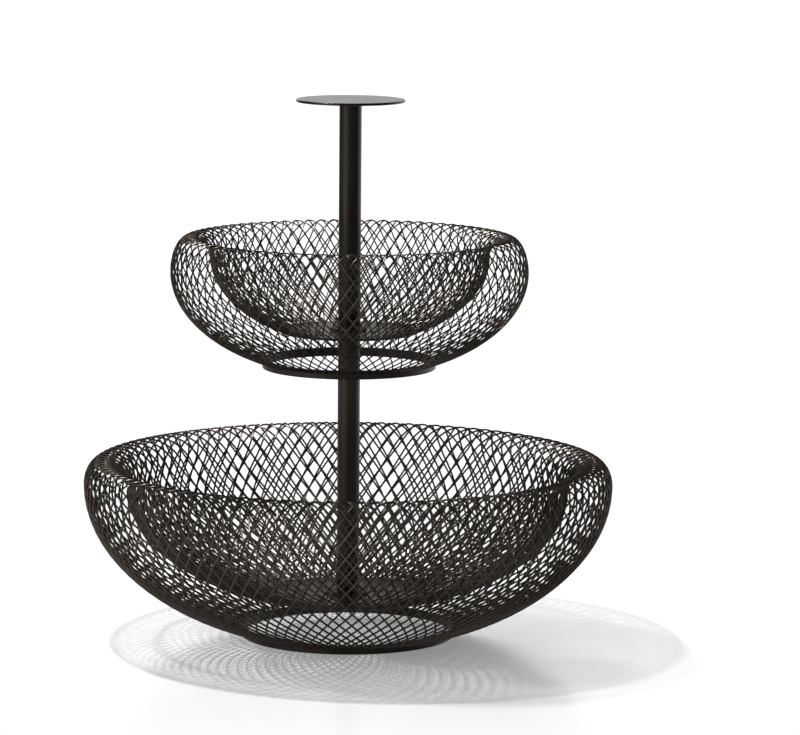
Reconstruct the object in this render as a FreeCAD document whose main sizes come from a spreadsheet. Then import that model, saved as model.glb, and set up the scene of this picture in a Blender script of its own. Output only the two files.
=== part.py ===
"""Two-tier wire basket: two double-walled wire bowls on a slim post with a flat grip disc.

Millimetres, +Z up. The origin is on the post's axis, on the surface that the lower foot ring
stands on. Each bowl is a sleeve of wires: every wire starts in the foot ring, climbs the outer
wall, turns over the rim, runs down the lining and ends in the floor disc. One family of wires
leans to the right and lies inside, the other leans to the left and is welded on outside it.
"""
import FreeCAD, Part
import math
import os

import Sketcher

# Every driving dimension, with its meaning. Lengths are millimetres and angles degrees.
SIZES = [
    ("lower_basket_radius", 147.8, "widest radius of the lower bowl"),
    ("lower_equator_rise", 86.5, "height of that radius above the foot"),
    ("lower_crest_radius", 139.1, "radius of the rim's highest line"),
    ("lower_crest_rise", 98.7, "height of the rim above the foot"),
    ("lower_lining_radius", 123.0, "widest radius of the lining"),
    ("lower_lining_rise", 82.0, "height of the lining's widest radius above the foot"),
    ("lower_ring_radius", 60.3, "outer radius of the lower foot ring"),
    ("lower_floor_radius", 48.0, "radius of the lower floor disc"),
    ("lower_floor_rise", 21.7, "underside of the lower floor disc above the foot"),
    ("lower_wire_lean", 37.0, "wire angle from the upright at the widest radius"),
    ("lower_wire_count", 28, "wires that lean each way in the lower bowl"),
    ("lower_wire_diameter", 1.1, "gauge of the lower bowl's wires"),
    ("upper_basket_radius", 99.6, "widest radius of the upper bowl"),
    ("upper_equator_rise", 54.0, "height of that radius above its foot ring"),
    ("upper_crest_radius", 89.8, "radius of the rim's highest line"),
    ("upper_crest_rise", 73.5, "height of the rim above its foot ring"),
    ("upper_lining_radius", 77.7, "widest radius of the lining"),
    ("upper_lining_rise", 63.6, "height of the lining's widest radius above its foot ring"),
    ("upper_ring_radius", 48.6, "outer radius of the upper foot ring"),
    ("upper_floor_radius", 38.0, "radius of the upper floor disc"),
    ("upper_floor_rise", 19.8, "underside of the upper floor disc above its foot ring"),
    ("upper_wire_lean", 32.5, "wire angle from the upright at the widest radius"),
    ("upper_wire_count", 18, "wires that lean each way in the upper bowl"),
    ("upper_wire_diameter", 0.85, "gauge of the upper bowl's wires"),
    ("ring_weld_depth", 2.0, "how far below a ring's top edge the wires enter it"),
    ("floor_weld_depth", 0.8, "how far a wire's end is melted into a floor disc"),
    ("crossing_sink", 0.35, "how far two wires are melted together where they cross"),
    ("ring_height", 5.0, "height of both foot rings"),
    ("ring_thickness", 1.8, "sheet of both foot rings"),
    ("floor_thickness", 1.5, "sheet of both floor discs"),
    ("post_radius", 6.25, "outside of both post tubes"),
    ("post_wall", 1.2, "wall of both post tubes"),
    ("lower_post_length", 145.7, "tube between the two floors"),
    ("upper_post_length", 126.5, "tube between the upper floor and the grip disc"),
    ("grip_radius", 30.4, "radius of the grip disc"),
    ("grip_thickness", 1.5, "sheet of the grip disc"),
    ("plug_length", 12.0, "turned plug that carries the grip disc"),
    ("insert_length", 18.0, "threaded insert in a tube's end"),
    ("thread_radius", 3.0, "outside of the bolt's and the stud's thread"),
    ("thread_clearance", 0.05, "radial play of the stud in the insert that it screws out of"),
    ("hole_clearance", 0.4, "radial play of a thread in a floor or a washer"),
    ("stud_engagement", 10.0, "length of the stud in the lower post's insert"),
    ("stud_anchor", 14.0, "length of the stud fixed in the upper post's insert"),
    ("seat_washer_radius", 10.0, "plastic washers on both sides of the upper floor"),
    ("seat_washer_thickness", 1.2, "sheet of those washers"),
    ("base_washer_radius", 12.0, "steel washer that the lower post stands on"),
    ("base_washer_thickness", 1.2, "sheet of that washer"),
    ("lock_washer_radius", 7.5, "washer under the bolt's head"),
    ("lock_washer_thickness", 1.4, "sheet of that washer"),
    ("bolt_head_radius", 5.5, "head of the base bolt"),
    ("bolt_head_height", 4.0, "height of that head"),
    ("bolt_reach", 12.0, "length of the bolt in the lower post's insert"),
    ("socket_radius", 2.6, "across the corners of the hexagon socket, halved"),
    ("socket_depth", 2.5, "depth of that socket"),
]

# Straight runs that a wire is bent into on each stretch of its path.
WALL_RUN_COUNT = 3
RIM_HALF_RUN_COUNT = 2
LINING_RUN_COUNT = 2
# Finer steps in which the lean is added up along one run.
LEAN_STEP_COUNT = 24
# Sides of a wire's section, whose area is the round wire's.
WIRE_SIDE_COUNT = 3
# Over the rim each family lies evenly between the other's wires, a quarter pitch to either side.
RIM_OFFSET_SHARE = 0.25

SHEET = "Sizes"
AXIS_Z = FreeCAD.Vector(0, 0, 1)
UNIT_RADIUS = 1.0

doc = FreeCAD.newDocument("tiered_wire_basket")
sheet = doc.addObject("Spreadsheet::Sheet", SHEET)
for row, (alias, value, meaning) in enumerate(SIZES, start=1):
    sheet.set("A%d" % row, alias)
    sheet.set("B%d" % row, str(value))
    sheet.set("C%d" % row, meaning)
    sheet.setAlias("B%d" % row, alias)
doc.recompute()

nodes = []


def size(alias):
    """The number in a cell of the sheet."""
    return float(sheet.get(alias))


def cells(words):
    """An expression of aliases, with each alias pointed at the sheet."""
    return " ".join(SHEET + "." + word if word[0].isalpha() else word for word in words.split())


# Heights of the stack, from the foot up, as expressions of the sheet's aliases.
LOWER_FLOOR_TOP = "lower_floor_rise + floor_thickness"
LOWER_POST_FOOT = LOWER_FLOOR_TOP + " + base_washer_thickness"
LOWER_POST_TOP = LOWER_POST_FOOT + " + lower_post_length"
UPPER_FLOOR_FOOT = LOWER_POST_TOP + " + seat_washer_thickness"
UPPER_FLOOR_TOP = UPPER_FLOOR_FOOT + " + floor_thickness"
UPPER_POST_FOOT = UPPER_FLOOR_TOP + " + seat_washer_thickness"
GRIP_FOOT = UPPER_POST_FOOT + " + upper_post_length"
UPPER_RING_FOOT = UPPER_FLOOR_FOOT + " - upper_floor_rise"
THREAD_HOLE = "thread_radius + hole_clearance"
TUBE_BORE = "post_radius - post_wall"


def circle_about_axis(sketch, name, radius):
    """Draw a circle about the axis whose radius follows an expression."""
    circle = sketch.addGeometry(Part.Circle(FreeCAD.Vector(), AXIS_Z, UNIT_RADIUS), False)
    # Point 3 of a circle is its centre, and point 1 of geometry -1 is the origin.
    sketch.addConstraint(Sketcher.Constraint("Coincident", circle, 3, -1, 1))
    sketch.addConstraint(Sketcher.Constraint("Radius", circle, UNIT_RADIUS))
    sketch.renameConstraint(sketch.ConstraintCount - 1, name)
    sketch.setExpression("Constraints." + name, cells(radius))


def round_piece(label, foot, height, outer, bore=None):
    """A disc, washer or tube about the axis, padded from a sketch of one or two circles."""
    body = doc.addObject("PartDesign::Body", label)
    plane = next(part for part in body.Origin.OriginFeatures if part.Role == "XY_Plane")
    sketch = body.newObject("Sketcher::SketchObject", label + "_section")
    sketch.AttachmentSupport = [(plane, "")]
    sketch.MapMode = "FlatFace"
    circle_about_axis(sketch, "outer_radius", outer)
    if bore:
        circle_about_axis(sketch, "bore_radius", bore)
    pad = body.newObject("PartDesign::Pad", label + "_pad")
    pad.Profile = sketch
    pad.setExpression("Length", cells(height))
    body.setExpression("Placement.Base.z", cells(foot))
    body.Label = label
    nodes.append(body)


def cylinder(label, radius, height, foot):
    """A plain cylinder about the axis, to be joined or cut."""
    piece = doc.addObject("Part::Cylinder", label)
    piece.setExpression("Radius", cells(radius))
    piece.setExpression("Height", cells(height))
    piece.setExpression("Placement.Base.z", cells(foot))
    return piece


def base_bolt():
    """Socket-head bolt that pulls the lower post down on the floor from below."""
    head_foot = "lower_floor_rise - lock_washer_thickness - bolt_head_height"
    shank_length = "( bolt_head_height + lock_washer_thickness + floor_thickness"
    shank_length += " + base_washer_thickness + bolt_reach )"
    bolt = doc.addObject("Part::MultiFuse", "bolt_blank")
    bolt.Shapes = [
        cylinder("bolt_head", "bolt_head_radius", "bolt_head_height", head_foot),
        cylinder("bolt_shank", "thread_radius", shank_length, head_foot),
    ]
    socket = doc.addObject("Part::Prism", "bolt_socket")
    socket.Polygon = 6
    socket.setExpression("Circumradius", cells("socket_radius"))
    socket.setExpression("Height", cells("socket_depth"))
    socket.setExpression("Placement.Base.z", cells(head_foot))
    cut = doc.addObject("Part::Cut", "base_bolt")
    cut.Base = bolt
    cut.Tool = socket
    cut.Label = "base_bolt"
    nodes.append(cut)


def tier(name, foot):
    """The sizes of one bowl as numbers, with its heights measured from the surface below."""
    sizes = {key: size(name + "_" + key) for key in (
        "basket_radius", "crest_radius", "lining_radius", "ring_radius", "floor_radius",
        "wire_lean", "wire_count", "wire_diameter")}
    for key in ("equator", "crest", "lining", "floor"):
        sizes[key] = foot + size(name + "_" + key + "_rise")
    sizes["ring_top"] = foot + size("ring_height")
    return sizes


def quarter_drop(radius, height, end_radius, end_height):
    """Upright half-axis of the ellipse that leaves (radius, height) upright and meets the end."""
    return (height - end_height) / math.sqrt(1 - (end_radius / radius) ** 2)


def wire_stretches(bowl):
    """The bowl's upright section, as elliptical stretches from the foot ring to the floor disc.

    Each is centre radius, centre height, half-axes out and up, first and last angle, and runs.
    """
    start_radius = bowl["ring_radius"] - size("ring_thickness") / 2
    start_height = bowl["ring_top"] - size("ring_weld_depth")
    end_radius = bowl["floor_radius"] - size("floor_weld_depth")
    end_height = bowl["floor"] + size("floor_thickness") / 2
    wall_drop = quarter_drop(bowl["basket_radius"], bowl["equator"], start_radius, start_height)
    lining_drop = quarter_drop(bowl["lining_radius"], bowl["lining"], end_radius, end_height)
    wall_start = -math.acos(start_radius / bowl["basket_radius"])
    lining_end = -math.acos(end_radius / bowl["lining_radius"])
    return [
        (0, bowl["equator"], bowl["basket_radius"], wall_drop, wall_start, 0, WALL_RUN_COUNT),
        (bowl["crest_radius"], bowl["equator"], bowl["basket_radius"] - bowl["crest_radius"],
         bowl["crest"] - bowl["equator"], 0, math.pi / 2, RIM_HALF_RUN_COUNT),
        (bowl["crest_radius"], bowl["lining"], bowl["crest_radius"] - bowl["lining_radius"],
         bowl["crest"] - bowl["lining"], math.pi / 2, math.pi, RIM_HALF_RUN_COUNT),
        (0, bowl["lining"], bowl["lining_radius"], lining_drop, 0, lining_end, LINING_RUN_COUNT),
    ]


def wire_bends(bowl, offset):
    """Radius, height and turn about the axis of each bend of one wire.

    The offset moves the wire out of the bowl's section along its normal. Mesh of equal sides
    bends to a bowl so that the sine of a wire's lean grows with the radius.
    """
    lean_radius = bowl["basket_radius"] / math.sin(math.radians(bowl["wire_lean"]))
    bends = []
    turn = 0.0
    for centre, middle, out, up, first, last, runs in wire_stretches(bowl):
        sense = math.copysign(1, last - first)
        for run in range(runs + 1):
            angle = first + (last - first) * run / runs
            if run:
                step = (last - first) / runs / LEAN_STEP_COUNT
                for part in range(LEAN_STEP_COUNT):
                    inner = angle + step * (part + 0.5 - LEAN_STEP_COUNT)
                    radius = centre + out * math.cos(inner)
                    length = abs(step) * math.hypot(out * math.sin(inner), up * math.cos(inner))
                    turn += length / math.sqrt(lean_radius ** 2 - radius ** 2)
            elif bends:
                continue
            along_r = -out * math.sin(angle) * sense
            along_z = up * math.cos(angle) * sense
            steep = math.hypot(along_r, along_z)
            radius = centre + out * math.cos(angle) + offset * along_z / steep
            height = middle + up * math.sin(angle) - offset * along_r / steep
            bends.append((radius, height, turn))
    return bends


def bent_bar(points, area):
    """A bar of few sides and a given section area, bent along straight runs and mitred."""
    runs = [(after - before).normalize() for before, after in zip(points, points[1:])]
    reach = math.sqrt(2 * area / (WIRE_SIDE_COUNT * math.sin(2 * math.pi / WIRE_SIDE_COUNT)))
    across = runs[0].cross(AXIS_Z).normalize()
    upward = across.cross(runs[0])
    corners = []
    for side in range(WIRE_SIDE_COUNT):
        angle = 2 * math.pi * side / WIRE_SIDE_COUNT
        corners.append(points[0] + across * (reach * math.sin(angle)) + upward * (reach * math.cos(angle)))
    sections = [corners]
    for index, run in enumerate(runs):
        end = points[index + 1]
        mitre = run + runs[index + 1] if index + 1 < len(runs) else run
        corners = [corner + run * ((end - corner).dot(mitre) / run.dot(mitre)) for corner in corners]
        sections.append(corners)
    outlines = [sections[0], sections[-1]]
    for low, high in zip(sections, sections[1:]):
        for side in range(WIRE_SIDE_COUNT):
            after = (side + 1) % WIRE_SIDE_COUNT
            outlines.append([low[side], low[after], high[after], high[side]])
    faces = [Part.Face(Part.makePolygon(outline + outline[:1])) for outline in outlines]
    shell = Part.makeShell(faces)
    shell.sewShape()
    bar = Part.makeSolid(shell)
    if bar.Volume < 0:
        bar.reverse()
    return bar


def wire_family(label, bowl, hand):
    """All wires of one bowl that lean one way: hand is 1 for right and -1 for left."""
    area = math.pi * bowl["wire_diameter"] ** 2 / 4
    offset = -hand * (bowl["wire_diameter"] - size("crossing_sink")) / 2
    count = round(bowl["wire_count"])
    pitch = 2 * math.pi / count
    bends = wire_bends(bowl, offset)
    crest_turn = bends[WALL_RUN_COUNT + RIM_HALF_RUN_COUNT][2]
    bars = []
    for wire in range(count):
        at_crest = pitch * (wire + hand * RIM_OFFSET_SHARE)
        points = []
        for radius, height, turn in bends:
            angle = at_crest + hand * (turn - crest_turn)
            points.append(FreeCAD.Vector(radius * math.cos(angle), radius * math.sin(angle), height))
        bars.append(bent_bar(points, area))
    family = doc.addObject("Part::Feature", label)
    family.Shape = Part.makeCompound(bars)
    family.Placement = FreeCAD.Placement()
    family.Label = label
    nodes.append(family)


# Lower bowl, its floor and what holds the post down.
round_piece("lower_foot_ring", "0", "ring_height", "lower_ring_radius", "lower_ring_radius - ring_thickness")
round_piece("lower_floor_disc", "lower_floor_rise", "floor_thickness", "lower_floor_radius", THREAD_HOLE)
round_piece("base_lock_washer", "lower_floor_rise - lock_washer_thickness", "lock_washer_thickness",
            "lock_washer_radius", THREAD_HOLE)
round_piece("post_base_washer", LOWER_FLOOR_TOP, "base_washer_thickness", "base_washer_radius", THREAD_HOLE)
base_bolt()

# Lower post with a threaded insert in each end.
round_piece("lower_post_tube", LOWER_POST_FOOT, "lower_post_length", "post_radius", TUBE_BORE)
round_piece("lower_post_bottom_insert", LOWER_POST_FOOT, "insert_length", TUBE_BORE, "thread_radius")
round_piece("lower_post_top_insert", LOWER_POST_TOP + " - insert_length", "insert_length", TUBE_BORE,
            "thread_radius + thread_clearance")

# Upper bowl, clamped by its floor between the two post tubes.
round_piece("lower_seat_washer", LOWER_POST_TOP, "seat_washer_thickness", "seat_washer_radius", THREAD_HOLE)
round_piece("upper_foot_ring", UPPER_RING_FOOT, "ring_height", "upper_ring_radius",
            "upper_ring_radius - ring_thickness")
round_piece("upper_floor_disc", UPPER_FLOOR_FOOT, "floor_thickness", "upper_floor_radius", THREAD_HOLE)
round_piece("upper_seat_washer", UPPER_FLOOR_TOP, "seat_washer_thickness", "seat_washer_radius", THREAD_HOLE)

# Handle: tube, grip disc and the stud that screws down into the lower post.
round_piece("connecting_stud", LOWER_POST_TOP + " - stud_engagement",
            "stud_engagement + 2 * seat_washer_thickness + floor_thickness + stud_anchor", "thread_radius")
round_piece("upper_post_insert", UPPER_POST_FOOT, "insert_length", TUBE_BORE, "thread_radius")
round_piece("upper_post_tube", UPPER_POST_FOOT, "upper_post_length", "post_radius", TUBE_BORE)
round_piece("handle_plug", GRIP_FOOT + " - plug_length", "plug_length", TUBE_BORE)
round_piece("handle_disc", GRIP_FOOT, "grip_thickness", "grip_radius")
doc.recompute()

# Wires of both bowls.
lower_bowl = tier("lower", 0)
upper_ring = doc.getObject("upper_foot_ring")
upper_bowl = tier("upper", upper_ring.Placement.Base.z)
wire_family("lower_right_hand_wires", lower_bowl, 1)
wire_family("lower_left_hand_wires", lower_bowl, -1)
wire_family("upper_right_hand_wires", upper_bowl, 1)
wire_family("upper_left_hand_wires", upper_bowl, -1)
doc.recompute()

for item in doc.Objects:
    if "Invalid" in item.State or "Error" in item.State:
        raise RuntimeError(item.Label + " failed: " + str(item.State))
for node in nodes:
    if node.Shape.isNull() or not node.Shape.isValid():
        raise RuntimeError(node.Label + " has no valid shape")

os.makedirs("parts", exist_ok=True)
for node in nodes:
    node.Shape.exportStep("parts/" + node.Label + ".step")
    print(node.Label, len(node.Shape.Solids), round(node.Shape.Volume, 1))
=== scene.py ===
"""Two-tier wire basket: its looks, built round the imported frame.

Metres, +Z up, in the frame's own axes. Each bowl is a double wall of black wires that start in
the foot ring, climb the outer wall, turn over the rim and run down the lining to the floor disc.
"""

import math

import bpy
import numpy as np
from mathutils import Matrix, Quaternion, Vector


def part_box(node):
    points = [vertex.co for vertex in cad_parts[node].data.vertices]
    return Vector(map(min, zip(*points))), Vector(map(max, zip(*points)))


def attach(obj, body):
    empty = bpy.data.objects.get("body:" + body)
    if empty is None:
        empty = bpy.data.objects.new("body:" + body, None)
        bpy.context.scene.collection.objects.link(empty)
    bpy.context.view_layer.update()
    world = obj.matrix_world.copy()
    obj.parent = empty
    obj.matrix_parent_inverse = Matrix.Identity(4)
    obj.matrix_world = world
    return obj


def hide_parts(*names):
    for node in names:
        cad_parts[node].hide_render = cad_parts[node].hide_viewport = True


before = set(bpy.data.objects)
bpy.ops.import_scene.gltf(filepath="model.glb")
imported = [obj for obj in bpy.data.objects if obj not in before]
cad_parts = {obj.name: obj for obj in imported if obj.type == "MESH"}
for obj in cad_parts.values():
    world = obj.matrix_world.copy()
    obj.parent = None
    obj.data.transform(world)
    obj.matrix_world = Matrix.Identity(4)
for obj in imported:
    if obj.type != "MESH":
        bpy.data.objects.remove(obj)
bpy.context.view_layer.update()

MM = 0.001
FULL_TURN = 2 * math.pi

# Photograph: frame size, and the camera that was worked out from the outlines of rings and rims.
IMAGE_WIDTH_PX = 800
FOCAL_PX = 4318.6
AXIS_LEFT_OF_CENTRE_PX = 51.5
CAMERA_DISTANCE = 2.3952
CAMERA_HEIGHT = 0.4917
CAMERA_PITCH = math.radians(8.08)
CAMERA_ROLL = math.radians(0.45)
SENSOR_WIDTH_MM = 36.0

# Section of each bowl. Rises are above the underside of its foot ring. As shares of the wires' spacing,
# the whole mesh is shifted round, and its first row of crossings lies past the crest of the rim.
LOWER_BOWL = {
    "basket_radius": 147.8 * MM,
    "equator_rise": 86.5 * MM,
    "crest_radius": 139.1 * MM,
    "crest_rise": 98.7 * MM,
    "lining_radius": 123.0 * MM,
    "lining_rise": 82.0 * MM,
    "wire_lean": math.radians(37.0),
    "wire_count": 106,
    "wire_diameter": 1.08 * MM,
    "mesh_shift": 0.85,
    "crossing_past_crest": 0.15,
    "ring": "lower_foot_ring",
    "floor": "lower_floor_disc",
}
UPPER_BOWL = {
    "basket_radius": 99.6 * MM,
    "equator_rise": 54.0 * MM,
    "crest_radius": 89.8 * MM,
    "crest_rise": 73.5 * MM,
    "lining_radius": 77.7 * MM,
    "lining_rise": 63.6 * MM,
    "wire_lean": math.radians(35.5),
    "wire_count": 77,
    "wire_diameter": 0.78 * MM,
    "mesh_shift": 0.28,
    "crossing_past_crest": -0.08,
    "ring": "upper_foot_ring",
    "floor": "upper_floor_disc",
}
# How far the wires reach into the foot ring from its top, and into the floor disc from its edge.
RING_WELD_DEPTH = 2.0 * MM
FLOOR_WELD_DEPTH = 0.8 * MM
# As shares of a wire's diameter: how deep two wires are pressed into each other where they are welded,
# how far the outer ones bow out between two welds low on the wall, and how much a weld swells a wire.
CROSSING_SINK_SHARE = 0.8
OUTER_BOW_SHARE = 0.12
WELD_SWELL_SHARE = 0.06
WIRE_SIDES = 7
STEPS_PER_CELL = 3
SECTION_STEPS = 240
# Hand-laid mesh is a little uneven. As shares of a pitch: how far a whole wire strays from its even
# place, and how far it sways along its length.
WIRE_STRAY_SHARE = 0.015
WIRE_SWAY_SHARE = 0.02
STRAY_SEED = 7

# Turned and pressed pieces
RING_SHEET = 1.8 * MM
THREAD_RADIUS = 3.0 * MM
THREAD_PITCH = 1.0 * MM
THREAD_DEPTH = 0.55 * MM
THREAD_ROWS_PER_PITCH = 4
HOLE_RADIUS = 3.4 * MM
TUBE_BORE = 5.05 * MM
PRESSED_EDGE = 0.45 * MM
TURNED_EDGE = 0.3 * MM
SOCKET_CORNERS = 6
SOCKET_RADIUS = 2.6 * MM
SOCKET_DEPTH = 2.5 * MM
BOLT_HEAD_HEIGHT = 4.0 * MM
EDGE_STEPS = 4
LARGE_SIDES = 192
SMALL_SIDES = 72
SHARP_ANGLE = math.radians(50)

# Patterns in the finishes. Nearly all values of a noise texture lie between its low and high level.
NOISE_LOW, NOISE_HIGH = 0.3, 0.7
COAT_CLOUD = 18 * MM
COAT_ROUGHNESS_SPREAD = 0.015
ZINC_CLOUD = 2.5 * MM
# Real mould grain is finer; it is drawn coarse enough to show.
NYLON_GRAIN = 0.4 * MM
NYLON_GRAIN_DEPTH = 0.03 * MM

# Board that the basket stands on. The distances of its fading are from the post's axis.
BOARD_LEFT, BOARD_RIGHT = -2.4, 0.9
BOARD_FRONT, BOARD_BACK = -1.6, 0.45
BOARD_FADE_START, BOARD_FADE_END = 0.21, 0.3
# Strength of the board's glow: painted light, which lifts the shade under the basket.
BOARD_PAINTED_GLOW = 0.22

# A small lamp high on the left behind the basket, and a large soft one on the left in front.
KEY_PLACE = Vector((-0.344, 0.297, 1.18))
KEY_SIZE = 0.08
KEY_POWER = 9.7
SIDE_PLACE = Vector((-1.5, -1.25, 0.6))
SIDE_SIZE = 1.6
SIDE_POWER = 10.0
SIDE_AIM = Vector((0.0, 0.0, 0.15))

# The room's own level, the white wall behind, which fades out sideways and upwards, and the dim
# ceiling. The wall's sides are cosines of the angle from its middle, and heights are sines of the
# angle above level.
ROOM_LEVEL = 0.04
WALL_LEVEL = 1.1
WALL_TOWARDS = (0.42, 0.91, 0.0)
WALL_SIDE_FADED, WALL_SIDE_FULL = 0.3, 0.75
WALL_TOP_FADED, WALL_TOP_FULL = 0.5, 0.25
CEILING_LEVEL = 0.25
CEILING_EDGE_FADED, CEILING_EDGE_FULL = 0.65, 0.85


# Shapes

def box_sizes(node):
    """Outer radius, foot and top of a CAD node about the post's axis."""
    low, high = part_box(node)
    return (high.x - low.x) / 2, low.z, high.z


def new_piece(name, points, faces, material, body):
    """A mesh object that stands for the CAD node of the same name and rides on its body."""
    mesh = bpy.data.meshes.new(name)
    mesh.from_pydata(points, [], faces)
    mesh.validate()
    mesh.shade_smooth()
    mesh.set_sharp_from_angle(angle=SHARP_ANGLE)
    mesh.materials.append(material)
    piece = bpy.data.objects.new(name + "_finished", mesh)
    bpy.context.scene.collection.objects.link(piece)
    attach(piece, body)
    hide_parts(name)
    return piece


def turned_mesh(rows, sides, closed):
    """Points and faces of rows turned about the axis.

    A row is a radius and a height, either of which may differ from side to side. A closed
    section joins its last row to its first, and an open one starts and ends on the axis.
    """
    angles = np.arange(sides) * FULL_TURN / sides
    points = []
    for radius, height in rows:
        radius = np.broadcast_to(radius, sides)
        height = np.broadcast_to(height, sides)
        points.extend(zip(radius * np.cos(angles), radius * np.sin(angles), height))
    count = len(rows)
    faces = []
    for row in range(count if closed else count - 1):
        after = (row + 1) % count
        for side in range(sides):
            beside = (side + 1) % sides
            faces.append((row * sides + side, row * sides + beside,
                          after * sides + beside, after * sides + side))
    if not closed:
        for row, end in ((0, rows[0]), (count - 1, rows[-1])):
            middle = len(points)
            points.append((0.0, 0.0, float(np.mean(end[1]))))
            for side in range(sides):
                edge = (row * sides + side, row * sides + (side + 1) % sides)
                faces.append((middle,) + (edge[::-1] if row == 0 else edge))
    return points, faces


def rounded_corner(radius, height, edge, first_quarter):
    """Rows of a rounded corner: quarters count on from the bottom outside one, upwards."""
    start = -math.pi / 2 + first_quarter * math.pi / 2
    turns = [start + step * math.pi / 2 / EDGE_STEPS for step in range(EDGE_STEPS + 1)]
    return [(radius + edge * math.cos(turn), height + edge * math.sin(turn)) for turn in turns]


def ring_rows(bore, outer, foot, top, edge):
    """Section of a ring, washer or tube with rounded edges."""
    rows = rounded_corner(outer - edge, foot + edge, edge, 0)
    rows += rounded_corner(outer - edge, top - edge, edge, 1)
    rows += rounded_corner(bore + edge, top - edge, edge, 2)
    rows += rounded_corner(bore + edge, foot + edge, edge, 3)
    return rows


def disc_rows(outer, foot, top, edge):
    """Half section of a disc or plug with rounded edges, from the axis below to the axis above."""
    rows = rounded_corner(outer - edge, foot + edge, edge, 0)
    rows += rounded_corner(outer - edge, top - edge, edge, 1)
    return rows


def thread_rows(foot, top, sides):
    """Rows of a screw thread: a ridge that climbs one pitch in a turn and dies out at both ends."""
    shares = np.arange(sides) / sides
    count = round((top - foot) / THREAD_PITCH * THREAD_ROWS_PER_PITCH)
    rows = []
    for row in range(count + 1):
        height = foot + (top - foot) * row / count
        phase = ((height - foot) / THREAD_PITCH - shares) % 1.0
        groove = np.abs(2 * phase - 1)
        ends = min(1.0, (height - foot) / THREAD_PITCH, (top - height) / THREAD_PITCH)
        depth = THREAD_DEPTH * (1 - ends * (1 - groove))
        rows.append((THREAD_RADIUS - depth, height))
    return rows


def turned_piece(name, rows, sides, closed, material, body):
    """A turned piece, shaded so that its flat faces look flat."""
    points, faces = turned_mesh(rows, sides, closed)
    piece = new_piece(name, points, faces, material, body)
    weighted = piece.modifiers.new("flat faces", "WEIGHTED_NORMAL")
    weighted.keep_sharp = True
    return piece


def ring_piece(name, bore, edge, sides, material, body):
    """A ring, washer or tube of its CAD node's size."""
    outer, foot, top = box_sizes(name)
    return turned_piece(name, ring_rows(bore, outer, foot, top, edge), sides, True, material, body)


# Wires

def quarter_drop(radius, height, end_radius, end_height):
    """Upright half-axis of the ellipse that leaves (radius, height) upright and meets the end."""
    return (height - end_height) / math.sqrt(1 - (end_radius / radius) ** 2)


def wire_stretches(bowl):
    """The bowl's upright section, as elliptical stretches from the foot ring to the floor disc.

    Each is centre radius, centre height, half-axes out and up, first and last angle.
    """
    ring_radius, foot, ring_top = box_sizes(bowl["ring"])
    floor_radius, floor_foot, floor_top = box_sizes(bowl["floor"])
    equator = foot + bowl["equator_rise"]
    crest = foot + bowl["crest_rise"]
    lining = foot + bowl["lining_rise"]
    start_radius = ring_radius - RING_SHEET / 2
    end_radius = floor_radius - FLOOR_WELD_DEPTH
    wall_drop = quarter_drop(bowl["basket_radius"], equator, start_radius, ring_top - RING_WELD_DEPTH)
    lining_drop = quarter_drop(bowl["lining_radius"], lining, end_radius, (floor_foot + floor_top) / 2)
    wall_start = -math.acos(start_radius / bowl["basket_radius"])
    lining_end = -math.acos(end_radius / bowl["lining_radius"])
    return [
        (0, equator, bowl["basket_radius"], wall_drop, wall_start, 0),
        (bowl["crest_radius"], equator, bowl["basket_radius"] - bowl["crest_radius"],
         crest - equator, 0, math.pi / 2),
        (bowl["crest_radius"], lining, bowl["crest_radius"] - bowl["lining_radius"],
         crest - lining, math.pi / 2, math.pi),
        (0, lining, bowl["lining_radius"], lining_drop, 0, lining_end),
    ]


def bowl_section(bowl):
    """Radius, height, outward normal and a wire's turn about the axis, finely along the section.

    Mesh of equal sides bends to a bowl so that the sine of a wire's lean grows with the radius.
    The turn is counted from the crossings nearest to the crest of the rim.
    """
    rows = []
    for centre, middle, out, up, first, last in wire_stretches(bowl):
        angle = first + (last - first) * (np.arange(SECTION_STEPS) + 0.5) / SECTION_STEPS
        sense = math.copysign(1, last - first)
        along_r = -out * np.sin(angle) * sense
        along_z = up * np.cos(angle) * sense
        steep = np.hypot(along_r, along_z)
        length = steep * abs(last - first) / SECTION_STEPS
        rows.append([centre + out * np.cos(angle), middle + up * np.sin(angle),
                     along_z / steep, -along_r / steep, length])
    radius, height, normal_r, normal_z, length = np.concatenate(rows, axis=1)
    lean_radius = bowl["basket_radius"] / math.sin(bowl["wire_lean"])
    turn = np.cumsum(length / np.sqrt(lean_radius ** 2 - radius ** 2))
    crossing = turn[np.argmax(height)] + bowl["crossing_past_crest"] * FULL_TURN / bowl["wire_count"]
    return radius, height, normal_r, normal_z, turn - crossing


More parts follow.
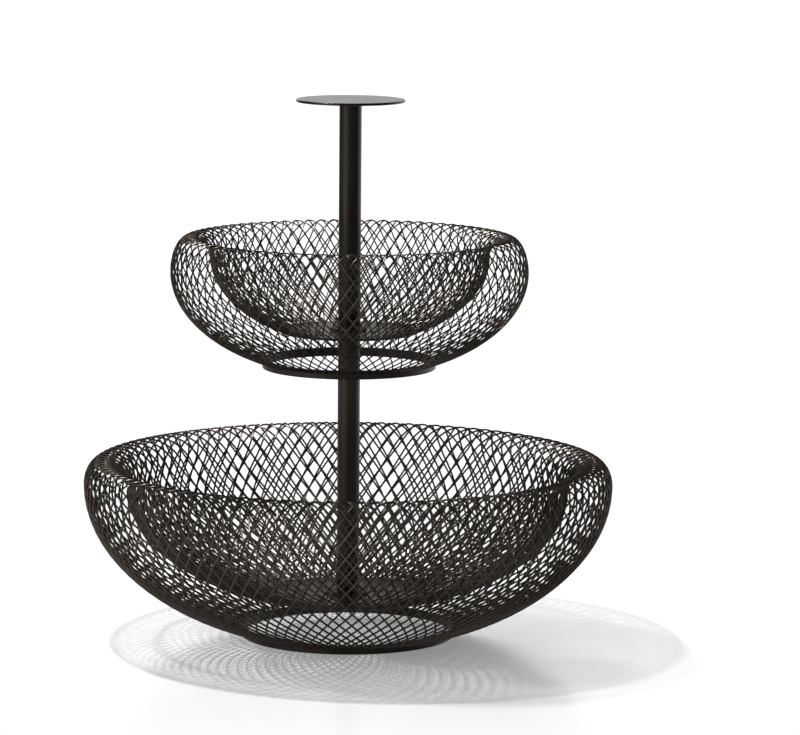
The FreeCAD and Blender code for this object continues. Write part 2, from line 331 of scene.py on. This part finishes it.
def wire_family(name, bowl, hand, material, body, strays):
    """All wires of one bowl that lean one way, as round bars: hand is 1 for right, -1 for left.

    The right-hand family lies outside on the wall, so it comes inside on the lining.
    """
    count = bowl["wire_count"]
    pitch = FULL_TURN / count
    section = bowl_section(bowl)
    first_turn, last_turn = section[-1][0], section[-1][-1]
    # The two families cross at turn zero and at every half of a pitch from there.
    step = pitch / 2 / STEPS_PER_CELL
    knots = np.arange(math.ceil(first_turn / step), last_turn / step) * step
    turn = np.concatenate([[first_turn], knots, [last_turn]])
    radius, height, normal_r, normal_z = (np.interp(turn, section[-1], row) for row in section[:-1])
    free = np.sin(FULL_TURN * turn / pitch) ** 2
    lowness = np.clip(turn / first_turn, 0, 1)
    bow = bowl["wire_diameter"] * OUTER_BOW_SHARE * lowness if hand > 0 else 0.0
    offset = hand * (bowl["wire_diameter"] * (1 - CROSSING_SINK_SHARE) / 2 + bow * free)
    thick = bowl["wire_diameter"] / 2 * (1 + WELD_SWELL_SHARE * (1 - free))
    radius = radius + offset * normal_r
    height = height + offset * normal_z
    steps = len(turn)
    along = np.linspace(0, 1, steps)[None, :]
    stray = strays.normal(0, WIRE_STRAY_SHARE, (count, 1))
    sway = WIRE_SWAY_SHARE * np.sin(FULL_TURN * along + strays.uniform(0, FULL_TURN, (count, 1)))
    place = np.arange(count)[:, None] + bowl["mesh_shift"] + stray + sway
    angle = FULL_TURN / 4 + pitch * place + hand * turn[None, :]
    cosine = np.cos(angle)
    sine = np.sin(angle)
    line = np.stack([radius * cosine, radius * sine, np.broadcast_to(height, angle.shape)], axis=-1)
    along_line = np.gradient(line, axis=1)
    along_line /= np.linalg.norm(along_line, axis=-1, keepdims=True)
    upward = np.broadcast_to(normal_z, angle.shape)
    outward = np.stack([normal_r * cosine, normal_r * sine, upward], axis=-1)
    outward -= along_line * np.sum(outward * along_line, axis=-1, keepdims=True)
    outward /= np.linalg.norm(outward, axis=-1, keepdims=True)
    sideways = np.cross(along_line, outward)
    around = (np.arange(WIRE_SIDES) * FULL_TURN / WIRE_SIDES)[:, None]
    spread = outward[:, :, None, :] * np.cos(around) + sideways[:, :, None, :] * np.sin(around)
    points = (line[:, :, None, :] + spread * thick[:, None, None]).reshape(-1, 3)
    faces = []
    for wire in range(count):
        first = wire * steps * WIRE_SIDES
        for row in range(steps - 1):
            low = first + row * WIRE_SIDES
            for side in range(WIRE_SIDES):
                beside = (side + 1) % WIRE_SIDES
                faces.append((low + side, low + beside,
                              low + WIRE_SIDES + beside, low + WIRE_SIDES + side))
        last = first + (steps - 1) * WIRE_SIDES
        faces.append(tuple(range(first + WIRE_SIDES - 1, first - 1, -1)))
        faces.append(tuple(range(last, last + WIRE_SIDES)))
    return new_piece(name, points.tolist(), faces, material, body)


# Materials

def linear(code):
    """An sRGB hex colour as linear red, green, blue and alpha, by the standard's own curve."""
    levels = [int(code[start:start + 2], 16) / 255 for start in (1, 3, 5)]
    colour = [level / 12.92 if level <= 0.04045 else ((level + 0.055) / 1.055) ** 2.4 for level in levels]
    return colour + [1.0]


def add_node(tree, kind, links=None, values=None, **settings):
    """Add a shader node, set its settings and socket values, and link its sockets."""
    node = tree.nodes.new(kind)
    for setting, value in settings.items():
        setattr(node, setting, value)
    for socket, value in (values or {}).items():
        node.inputs[socket].default_value = value
    for socket, source in (links or {}).items():
        tree.links.new(source, node.inputs[socket])
    return node


def new_material(name):
    """An empty node material, and its tree."""
    material = bpy.data.materials.new(name)
    material.use_nodes = True
    material.node_tree.nodes.clear()
    return material, material.node_tree


def powder_coated_steel(name, grit, grit_depth, gloss_roughness, gloss_index):
    """Black polyester powder baked on steel: dull, with a sandy grit that breaks up the highlights."""
    material, tree = new_material(name)
    place = add_node(tree, "ShaderNodeTexCoord").outputs["Object"]
    sand = add_node(tree, "ShaderNodeTexNoise", {"Vector": place},
                    {"Scale": 1 / grit, "Detail": 3.0, "Roughness": 0.6})
    cloud = add_node(tree, "ShaderNodeTexNoise", {"Vector": place},
                     {"Scale": 1 / COAT_CLOUD, "Detail": 2.0})
    dull = add_node(tree, "ShaderNodeMapRange", {"Value": cloud.outputs["Fac"]},
                    {"From Min": NOISE_LOW, "From Max": NOISE_HIGH,
                     "To Min": gloss_roughness - COAT_ROUGHNESS_SPREAD,
                     "To Max": gloss_roughness + COAT_ROUGHNESS_SPREAD})
    tint = add_node(tree, "ShaderNodeMix", {"Factor": sand.outputs["Fac"]}, data_type="RGBA")
    tint.inputs["A"].default_value = linear("#040302")
    tint.inputs["B"].default_value = linear("#090705")
    bump = add_node(tree, "ShaderNodeBump", {"Height": sand.outputs["Fac"]},
                    {"Strength": 0.6, "Distance": grit_depth})
    coat = add_node(tree, "ShaderNodeBsdfPrincipled",
                    {"Base Color": tint.outputs["Result"], "Roughness": dull.outputs["Result"],
                     "Normal": bump.outputs["Normal"]},
                    {"IOR": gloss_index, "Specular Tint": linear("#ffeedd")})
    add_node(tree, "ShaderNodeOutputMaterial", {"Surface": coat.outputs["BSDF"]})
    return material


def powder_coated_wire():
    """The same black powder on thin wire: the grit shades itself, so that no bright edge shows."""
    material, tree = new_material("powder_coated_steel_wire")
    place = add_node(tree, "ShaderNodeTexCoord").outputs["Object"]
    cloud = add_node(tree, "ShaderNodeTexNoise", {"Vector": place},
                     {"Scale": 1 / COAT_CLOUD, "Detail": 2.0})
    dull = add_node(tree, "ShaderNodeMapRange", {"Value": cloud.outputs["Fac"]},
                    {"From Min": NOISE_LOW, "From Max": NOISE_HIGH, "To Min": 0.31, "To Max": 0.37})
    body = add_node(tree, "ShaderNodeBsdfDiffuse", values={"Color": linear("#050404")})
    sheen = add_node(tree, "ShaderNodeBsdfGlossy", {"Roughness": dull.outputs["Result"]},
                     {"Color": linear("#4f4943")})
    coat = add_node(tree, "ShaderNodeAddShader", {0: body.outputs["BSDF"], 1: sheen.outputs["BSDF"]})
    add_node(tree, "ShaderNodeOutputMaterial", {"Surface": coat.outputs["Shader"]})
    return material


def zinc_plated_steel():
    """Bright zinc on turned steel: pale grey metal, faintly clouded by the plating bath."""
    material, tree = new_material("zinc_plated_steel")
    place = add_node(tree, "ShaderNodeTexCoord").outputs["Object"]
    cloud = add_node(tree, "ShaderNodeTexNoise", {"Vector": place},
                     {"Scale": 1 / ZINC_CLOUD, "Detail": 4.0})
    dull = add_node(tree, "ShaderNodeMapRange", {"Value": cloud.outputs["Fac"]},
                    {"From Min": NOISE_LOW, "From Max": NOISE_HIGH, "To Min": 0.24, "To Max": 0.38})
    tint = add_node(tree, "ShaderNodeMix", {"Factor": cloud.outputs["Fac"]}, data_type="RGBA")
    tint.inputs["A"].default_value = linear("#aeb2b6")
    tint.inputs["B"].default_value = linear("#c9cbcc")
    metal = add_node(tree, "ShaderNodeBsdfPrincipled",
                     {"Base Color": tint.outputs["Result"], "Roughness": dull.outputs["Result"]},
                     {"Metallic": 1.0})
    add_node(tree, "ShaderNodeOutputMaterial", {"Surface": metal.outputs["BSDF"]})
    return material


def moulded_nylon():
    """Black moulded nylon: a soft satin skin with a very fine mould grain."""
    material, tree = new_material("moulded_nylon")
    place = add_node(tree, "ShaderNodeTexCoord").outputs["Object"]
    grain = add_node(tree, "ShaderNodeTexNoise", {"Vector": place},
                     {"Scale": 1 / NYLON_GRAIN, "Detail": 2.0})
    bump = add_node(tree, "ShaderNodeBump", {"Height": grain.outputs["Fac"]},
                    {"Strength": 0.3, "Distance": NYLON_GRAIN_DEPTH})
    dull = add_node(tree, "ShaderNodeMapRange", {"Value": grain.outputs["Fac"]},
                    {"From Min": NOISE_LOW, "From Max": NOISE_HIGH, "To Min": 0.36, "To Max": 0.44})
    skin = add_node(tree, "ShaderNodeBsdfPrincipled",
                    {"Roughness": dull.outputs["Result"], "Normal": bump.outputs["Normal"]},
                    {"Base Color": linear("#1a1a1a"), "IOR": 1.53})
    add_node(tree, "ShaderNodeOutputMaterial", {"Surface": skin.outputs["BSDF"]})
    return material


def lacquered_white_board():
    """White lacquered board: a full white body under a clear skin that mirrors at a low angle.

    It also glows a little: painted light that stands in for the light a white room sends back, which
    lifts the shade under the basket and lights it from below. To the eye it fades into plain white away
    from the basket, so that its edges never show.
    """
    material, tree = new_material("lacquered_white_board")
    paint = add_node(tree, "ShaderNodeBsdfDiffuse", values={"Color": linear("#f8f8f8")})
    mirrored = add_node(tree, "ShaderNodeFresnel", values={"IOR": 1.4})
    skin = add_node(tree, "ShaderNodeBsdfGlossy", {"Color": mirrored.outputs["Fac"]},
                    {"Roughness": 0.18})
    lacquer = add_node(tree, "ShaderNodeAddShader", {0: paint.outputs["BSDF"], 1: skin.outputs["BSDF"]})
    # Painted light: the board glows, which lifts the shade under the basket and lights it from below.
    painted_glow = add_node(tree, "ShaderNodeEmission",
                    values={"Color": linear("#ffffff"), "Strength": BOARD_PAINTED_GLOW})
    board = add_node(tree, "ShaderNodeAddShader",
                     {0: lacquer.outputs["Shader"], 1: painted_glow.outputs["Emission"]})
    place = add_node(tree, "ShaderNodeTexCoord").outputs["Object"]
    away = add_node(tree, "ShaderNodeVectorMath", {0: place}, operation="LENGTH")
    fading = add_node(tree, "ShaderNodeMapRange", {"Value": away.outputs["Value"]},
                      {"From Min": BOARD_FADE_START, "From Max": BOARD_FADE_END})
    eye = add_node(tree, "ShaderNodeLightPath").outputs["Is Camera Ray"]
    faded = add_node(tree, "ShaderNodeMath", {0: fading.outputs["Result"], 1: eye}, operation="MULTIPLY")
    white = add_node(tree, "ShaderNodeEmission", values={"Color": linear("#ffffff")})
    shown = add_node(tree, "ShaderNodeMixShader", {0: faded.outputs["Value"], 1: board.outputs["Shader"],
                                                   2: white.outputs["Emission"]})
    add_node(tree, "ShaderNodeOutputMaterial", {"Surface": shown.outputs["Shader"]})
    return material


# Real powder grit is about 0.2 mm across; it is drawn coarser, so that it shows.
sheet_coat = powder_coated_steel("powder_coated_steel_sheet", grit=0.7 * MM, grit_depth=0.06 * MM,
                                 gloss_roughness=0.38, gloss_index=1.5)
ring_coat = powder_coated_steel("powder_coated_steel_ring", grit=0.7 * MM, grit_depth=0.06 * MM,
                                gloss_roughness=0.42, gloss_index=1.42)
disc_coat = powder_coated_steel("powder_coated_steel_disc", grit=0.9 * MM, grit_depth=0.02 * MM,
                                gloss_roughness=0.3, gloss_index=1.5)
wire_coat = powder_coated_wire()
zinc = zinc_plated_steel()
nylon = moulded_nylon()

# Bowls
strays = np.random.default_rng(STRAY_SEED)
for name, bowl, body in (("lower", LOWER_BOWL, "base"), ("upper", UPPER_BOWL, "upper_bowl")):
    wire_family(name + "_right_hand_wires", bowl, 1, wire_coat, body, strays)
    wire_family(name + "_left_hand_wires", bowl, -1, wire_coat, body, strays)
    ring_bore = box_sizes(bowl["ring"])[0] - RING_SHEET
    ring_piece(bowl["ring"], ring_bore, PRESSED_EDGE, LARGE_SIDES, ring_coat, body)
    ring_piece(bowl["floor"], HOLE_RADIUS, PRESSED_EDGE, LARGE_SIDES, disc_coat, body)

# Posts, washers and threaded inserts
ring_piece("post_base_washer", HOLE_RADIUS, PRESSED_EDGE, SMALL_SIDES, sheet_coat, "base")
for name, body in (("lower_post_tube", "base"), ("upper_post_tube", "handle")):
    ring_piece(name, TUBE_BORE, TURNED_EDGE, SMALL_SIDES, sheet_coat, body)
ring_piece("base_lock_washer", HOLE_RADIUS, TURNED_EDGE, SMALL_SIDES, zinc, "base")
for name, body in (("lower_post_bottom_insert", "base"), ("lower_post_top_insert", "base"),
                   ("upper_post_insert", "handle")):
    ring_piece(name, THREAD_RADIUS, TURNED_EDGE, SMALL_SIDES, zinc, body)
ring_piece("lower_seat_washer", HOLE_RADIUS, TURNED_EDGE, SMALL_SIDES, nylon, "base")
ring_piece("upper_seat_washer", HOLE_RADIUS, TURNED_EDGE, SMALL_SIDES, nylon, "handle_washer")

# Handle
grip_radius, grip_foot, grip_top = box_sizes("handle_disc")
grip_rows = disc_rows(grip_radius, grip_foot, grip_top, PRESSED_EDGE)
turned_piece("handle_disc", grip_rows, LARGE_SIDES, False, disc_coat, "handle")
plug_radius, plug_foot, plug_top = box_sizes("handle_plug")
plug_rows = disc_rows(plug_radius, plug_foot, plug_top, TURNED_EDGE)
turned_piece("handle_plug", plug_rows, SMALL_SIDES, False, zinc, "handle")
stud_foot, stud_top = box_sizes("connecting_stud")[1:]
stud_rows = thread_rows(stud_foot, stud_top, SMALL_SIDES)
turned_piece("connecting_stud", stud_rows, SMALL_SIDES, False, zinc, "handle")

# Base bolt, with a hexagon socket in its head
head_radius, bolt_foot, bolt_top = box_sizes("base_bolt")
head_top = bolt_foot + BOLT_HEAD_HEIGHT
flat_turn = FULL_TURN / SOCKET_CORNERS
turn_on_flat = np.arange(SMALL_SIDES) * FULL_TURN / SMALL_SIDES % flat_turn - flat_turn / 2
socket = SOCKET_RADIUS * math.cos(flat_turn / 2) / np.cos(turn_on_flat)
bolt_rows = [(socket, bolt_foot + SOCKET_DEPTH), (socket, bolt_foot)]
bolt_rows += disc_rows(head_radius, bolt_foot, head_top, TURNED_EDGE)
bolt_rows += thread_rows(head_top, bolt_top, SMALL_SIDES)
turned_piece("base_bolt", bolt_rows, SMALL_SIDES, False, zinc, "base")


# Floor, light and camera
floor_mesh = bpy.data.meshes.new("floor")
floor_mesh.from_pydata([(BOARD_LEFT, BOARD_FRONT, 0), (BOARD_RIGHT, BOARD_FRONT, 0),
                        (BOARD_RIGHT, BOARD_BACK, 0), (BOARD_LEFT, BOARD_BACK, 0)], [], [(0, 1, 2, 3)])
floor_mesh.materials.append(lacquered_white_board())
floor = bpy.data.objects.new("floor", floor_mesh)
bpy.context.scene.collection.objects.link(floor)


def add_light(name, kind, place, aim, **settings):
    """A lamp at a place, turned towards its aim."""
    lamp = bpy.data.lights.new(name, kind)
    for setting, value in settings.items():
        setattr(lamp, setting, value)
    holder = bpy.data.objects.new(name, lamp)
    holder.location = place
    holder.rotation_euler = (aim - place).to_track_quat("-Z", "Y").to_euler()
    bpy.context.scene.collection.objects.link(holder)


add_light("key", "AREA", KEY_PLACE, Vector(), energy=KEY_POWER, shape="DISK", size=KEY_SIZE)
add_light("side", "AREA", SIDE_PLACE, SIDE_AIM, energy=SIDE_POWER, size=SIDE_SIZE)

# White studio: a white wall behind, a dim ceiling, dimmer elsewhere, and plain white to the eye.
world = bpy.data.worlds.new("white_studio")
bpy.context.scene.world = world
world.use_nodes = True
sky = world.node_tree
sky.nodes.clear()
rays = add_node(sky, "ShaderNodeLightPath")
towards = add_node(sky, "ShaderNodeTexCoord").outputs["Generated"]
facing = add_node(sky, "ShaderNodeVectorMath", {0: towards}, {1: WALL_TOWARDS}, operation="DOT_PRODUCT")
upward = add_node(sky, "ShaderNodeSeparateXYZ", {"Vector": towards})
width = add_node(sky, "ShaderNodeMapRange", {"Value": facing.outputs["Value"]},
                 {"From Min": WALL_SIDE_FADED, "From Max": WALL_SIDE_FULL, "To Max": WALL_LEVEL})
height = add_node(sky, "ShaderNodeMapRange", {"Value": upward.outputs["Z"]},
                  {"From Min": WALL_TOP_FADED, "From Max": WALL_TOP_FULL})
ceiling = add_node(sky, "ShaderNodeMapRange", {"Value": upward.outputs["Z"]},
                   {"From Min": CEILING_EDGE_FADED, "From Max": CEILING_EDGE_FULL,
                    "To Min": ROOM_LEVEL, "To Max": CEILING_LEVEL})
lit = add_node(sky, "ShaderNodeMath", {0: width.outputs["Result"], 1: height.outputs["Result"],
                                       2: ceiling.outputs["Result"]}, operation="MULTIPLY_ADD")
seen = add_node(sky, "ShaderNodeMath", {0: lit.outputs["Value"], 1: rays.outputs["Is Camera Ray"]},
                operation="MAXIMUM")
studio = add_node(sky, "ShaderNodeBackground", {"Strength": seen.outputs["Value"]},
                  {"Color": linear("#ffffff")})
add_node(sky, "ShaderNodeOutputWorld", {"Surface": studio.outputs["Background"]})

camera_data = bpy.data.cameras.new("camera")
camera_data.sensor_width = SENSOR_WIDTH_MM
camera_data.lens = FOCAL_PX / IMAGE_WIDTH_PX * SENSOR_WIDTH_MM
camera = bpy.data.objects.new("camera", camera_data)
pan = math.atan(AXIS_LEFT_OF_CENTRE_PX / FOCAL_PX)
camera.location = (0.0, -CAMERA_DISTANCE, CAMERA_HEIGHT)
looking = Vector((math.sin(pan) * math.cos(CAMERA_PITCH), math.cos(pan) * math.cos(CAMERA_PITCH),
                  -math.sin(CAMERA_PITCH)))
level = looking.to_track_quat("-Z", "Y")
camera.rotation_euler = (level @ Quaternion((0, 0, 1), CAMERA_ROLL)).to_euler()
bpy.context.scene.collection.objects.link(camera)
bpy.context.scene.camera = camera
bpy.context.scene.view_settings.view_transform = "Standard"

bpy.context.view_layer.update()
